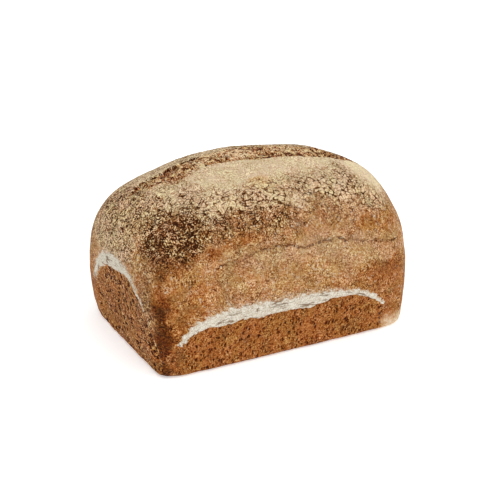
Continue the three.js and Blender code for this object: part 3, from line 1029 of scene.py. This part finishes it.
def makeCrustMaterial():
    material, tree, shader = newMaterial("baked crust")
    place = field(tree, "place", "Vector")
    fields = {name: field(tree, name) for name in fieldsOfCrust}
    broad, middle, fine, sand = (spreadNoise(place, *values) for values in crustNoises.values())

    # nets of cracks between plates of three sizes
    shaken = onVector("SUBTRACT", noise(place, jitter["size"], 1.0, 0.5, "Color"), (0.5, 0.5, 0.5))
    jagged = onVector("MULTIPLY_ADD", shaken, (jitter["reach"],) * 3, place)
    coarseNet, mediumNet, fineNet = (
        useGroup(plateGroup, {"Place": jagged, "Size": size, "Gap": plates["gap"] * size})
        for size in plates["sizes"]
    )

    # the slash has values of its own
    slashPlace = field(tree, "slash")
    inSlash = (slashPlace + middle * 0.05 + fine * 0.03).eased(-1.02, -0.97) * slashPlace.eased(1.02, 0.99)
    upSlash = (slashPlace + middle * 0.25 + broad * 0.2).eased(-0.95, -0.2, -0.16, 0.08)
    chunk = mediumNet["Tint"] - 0.5
    crumbTone = field(tree, "crumb") + middle * 0.2 + broad * 0.08 + chunk * 0.62 + upSlash
    crumbCream = crumbTone.eased(0.6, 0.95, 0.0, 0.5)
    for name, inside in {**crumb, "tone": crumbTone, "cream": crumbCream}.items():
        fields[name] = inSlash.mix(fields[name], inside)

    # and so have the pitted panels
    onPanel = (field(tree, "panel") + middle * 0.9 + fine * 0.5).eased(-0.4, 0.8)
    offPanel = 1.0 - onPanel
    pitted = field(tree, "pitted")
    for name, inside in {**panel, "grit": pitted * 0.75 + 0.2}.items():
        fields[name] = onPanel.mix(fields[name], inside)
    tone, warm, cream, crack, coarse, grit, chalk = fields.values()

    # the cracks run between plates of one of these sizes
    sizeNow = coarse + broad * 0.2 + middle * 0.12
    toMedium, toCoarse = sizeNow.eased(0.22, 0.3), sizeNow.eased(0.62, 0.72)
    plate, tint = (
        toCoarse.mix(toMedium.mix(fineNet[name], mediumNet[name]), coarseNet[name])
        for name in ("Mask", "Tint")
    )
    chip = (fineNet["Mask"] * 0.5 + fine * 0.5).eased(-0.35, 0.1, 0.6, 1.0)
    gap = (1.0 - plate * chip) * crack

    # specks: pores in the panels, grains of flour that are thickest just above each arch, and bran
    tall = onVector("MULTIPLY", place, pores["stretch"])
    largePores = useGroup(speckGroup, {"Place": tall, **specks["largePores"]})["Mask"]
    smallPores = useGroup(speckGroup, {"Place": place, **specks["smallPores"]})["Mask"]
    pore = largePores.calc("MAXIMUM", smallPores * 0.7) * onPanel * pitted
    rim = field(tree, "rim")
    sprinkled = tone.eased(0.35, 0.6) * broad.eased(-0.3, 0.9, 0.05, 0.36)
    amount = (rim.eased(-7.0, 0.5) * 0.55 + sprinkled) * offPanel * cream.eased(0.95, 0.3)
    grains = useGroup(speckGroup, {"Place": place, "Amount": amount, **specks["grains"]})["Mask"]
    bran = useGroup(speckGroup, {"Place": place, **specks["bran"]})["Mask"]

    # painted shade: a broken dark line along the fold's crease, and a dark line under the lip where its
    # shadow falls
    foldAt = abs(field(tree, "fold") + middle * 0.8 + fine * 0.4)
    foldShadeLine = foldAt.eased(1.5, 0.4) * (broad * 0.4 + middle * 0.9 + fine * 0.8).eased(-0.4, 0.5)
    lipShadowLine = abs(slashPlace - 0.95 + middle * 0.04 + fine * 0.03).eased(0.1, 0.04)

    # how light the crust is, with its grain, which is stronger in some parts than in others
    grain = weighted((fine, sand, fineNet["Tint"] - 0.5, middle), grainTones)
    uneven = noise(place, 9.0, 2.0, 0.6).eased(0.36, 0.64, 0.6, 1.3)
    lightness = tone + grit * uneven * grain + crack * (tint * 0.1 + 0.02) + broad * 0.03
    # the fold's line and the line under the lip darken the crust as painted shade
    lightness = lightness + weighted((gap, pore, bran, foldShadeLine, lipShadowLine), markTones)

    # and which of the tones it has
    dusty, orange, floury = (colourRamp(lightness, tones) for tones in (dustyTones, warmTones, creamTones))
    colour = (warm + broad * 0.35 + middle * 0.3).limited().mixColour(dusty, orange)
    creamNow = (cream + broad * 0.16 + middle * 0.12).limited()
    colour = creamNow.mixColour(colour, floury)
    hue = noise(place, 11.0, 2.0, 0.6).eased(0.36, 0.64)
    colour = cream.eased(0.0, 1.0, 1.0, 0.5).mixColour(colour, hue.mixColour(*tints), "MULTIPLY")
    colour = (inSlash * tone.eased(0.66, 0.42)).mixColour(colour, crumbTint, "MULTIPLY")

    # white flour lies in patches, in grains and in a soft edge above each arch
    aboveArch = rim.eased(-4.5, 1.0) * offPanel * 0.8
    smudge = noise(place, 7.0, 3.0, 0.7).eased(0.55, 0.68, 0.0, 0.6) * tone.eased(0.4, 0.56)
    smudge = smudge * (1.0 - onPanel.calc("MAXIMUM", inSlash))
    lying = chalk.calc("MAXIMUM", smudge).calc("MAXIMUM", aboveArch)
    lying = lying * (middle * 0.5 + fine * 0.5).eased(-0.4, 0.6)
    dusted = (lying + grains * 0.55 + chalk * 0.3).calc("MINIMUM", 1.0)
    colour = dusted.mixColour(colour, colourRamp(fine * 0.3 + gap * -0.4 + 0.6, chalkTones))

    height = weighted((fine, sand, middle, grains, gap, pore, foldShadeLine), heights)
    roughness = creamNow.eased(0.0, 0.6, 0.72, 0.95)
    setAll(shader, {"Base Color": colour, "Normal": bump(height), "Roughness": roughness,
                    "Specular IOR Level": 0.08})
    return material


# The baked-on flour's material, with cracks that run along each band

flourTones = ((0.0, 150, 124, 96), (0.3, 186, 172, 150), (0.6, 206, 196, 178), (1.0, 228, 222, 208))
flourNoises = {"middle": (4.0, 2.0, 0.6), "grain": (1.2, 2.0, 0.7), "sand": (0.8, 1.0, 0.6)}
flourCracks = {"Size": 1.9, "Gap": 0.14}
flourCrack = srgb(120, 92, 66)
thinFlour = srgb(176, 128, 84)


def makeFlourMaterial():
    material, tree, shader = newMaterial("baked flour")
    place = field(tree, "place", "Vector")
    middle, grain, sand = (spreadNoise(place, *values) for values in flourNoises.values())
    drawn = onVector("MULTIPLY", place, (0.16, 1.0, 1.0))
    cracks = useGroup(plateGroup, {"Place": drawn, **flourCracks})
    openAt = noise(onVector("MULTIPLY", place, (0.3, 1.0, 1.0)), 3.5, 1.0).eased(0.46, 0.58)
    crack = (1.0 - cracks["Mask"]) * openAt
    colour = colourRamp(middle * 0.1 + grain * 0.2 + sand * 0.34 + 0.66, flourTones)
    colour = (crack * 0.85).mixColour(colour, flourCrack)
    thin = (field(tree, "depth") + middle * 0.25 + grain * 0.5).eased(0.9, 0.0)
    colour = (thin * 0.55).mixColour(colour, thinFlour)
    height = grain * 0.07 + middle * 0.08 + crack * -0.3
    setAll(shader, {
        "Base Color": colour, "Normal": bump(height), "Roughness": 0.95, "Specular IOR Level": 0.12})
    return material


crust.data.materials.append(makeCrustMaterial())
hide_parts("loaf")
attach(crust, "root")
flourMaterial = makeFlourMaterial()
for piece in bandPieces:
    piece.data.materials.append(flourMaterial)
    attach(piece, "root")
print("crust and bands finished")


# The stage: a plain pale floor under soft light

floorFinish = {
    "Base Color": srgb(244, 244, 244),
    "Roughness": 0.9,
    "Specular IOR Level": 0.0,
    "Emission Color": (1.0, 1.0, 1.0, 1.0),
    "Emission Strength": 0.42,  # a light table, so that the shadow stays faint
}
room = {"Color": (1.0, 1.0, 1.0, 1.0), "Strength": 0.6}
sun = {"towards": (0.02, -0.65, 1.2), "strength": 1.35, "spread": 60.0}
view = {"lens": 85.0, "shift": (0.00574, -0.00582), "azimuth": -27.408, "elevation": 22.204,
        "distance": 0.883941, "aimHeight": 0.0575}  # in metres and degrees


def link(name, data):
    made = bpy.data.objects.new(name, data)
    bpy.context.scene.collection.objects.link(made)
    return made


def makeStage():
    half = 4.0
    mesh = bpy.data.meshes.new("floor")
    corners = [(-half, -half, 0), (half, -half, 0), (half, half, 0), (-half, half, 0)]
    mesh.from_pydata(corners, [], [(0, 1, 2, 3)])
    floor = link("floor", mesh)
    material, _, shader = newMaterial("pale floor")
    setAll(shader, floorFinish)
    mesh.materials.append(material)

    world = bpy.data.worlds.new("soft room")
    world.use_nodes = True
    setAll(world.node_tree.nodes["Background"].inputs, room)
    bpy.context.scene.world = world


def makeLight():
    # a wide soft sun, so that the floor is lit evenly
    data = bpy.data.lights.new("key", "SUN")
    data.energy = sun["strength"]
    data.angle = np.radians(sun["spread"])
    link("key", data).rotation_euler = (-Vector(sun["towards"])).to_track_quat("-Z", "Y").to_euler()


def makeCamera():
    data = bpy.data.cameras.new("camera")
    data.lens = view["lens"]
    data.shift_x, data.shift_y = view["shift"]
    azimuth, elevation = np.radians(view["azimuth"]), np.radians(view["elevation"])
    aim = Vector((0, 0, view["aimHeight"]))
    level = np.cos(elevation)
    outwards = Vector((level * np.sin(azimuth), -level * np.cos(azimuth), np.sin(elevation)))
    camera = link("camera", data)
    camera.location = aim + outwards * view["distance"]
    camera.rotation_euler = (-outwards).to_track_quat("-Z", "Y").to_euler()
    bpy.context.scene.camera = camera


makeStage()
makeLight()
makeCamera()
bpy.context.scene.view_settings.view_transform = "Standard"
print("stage ready")
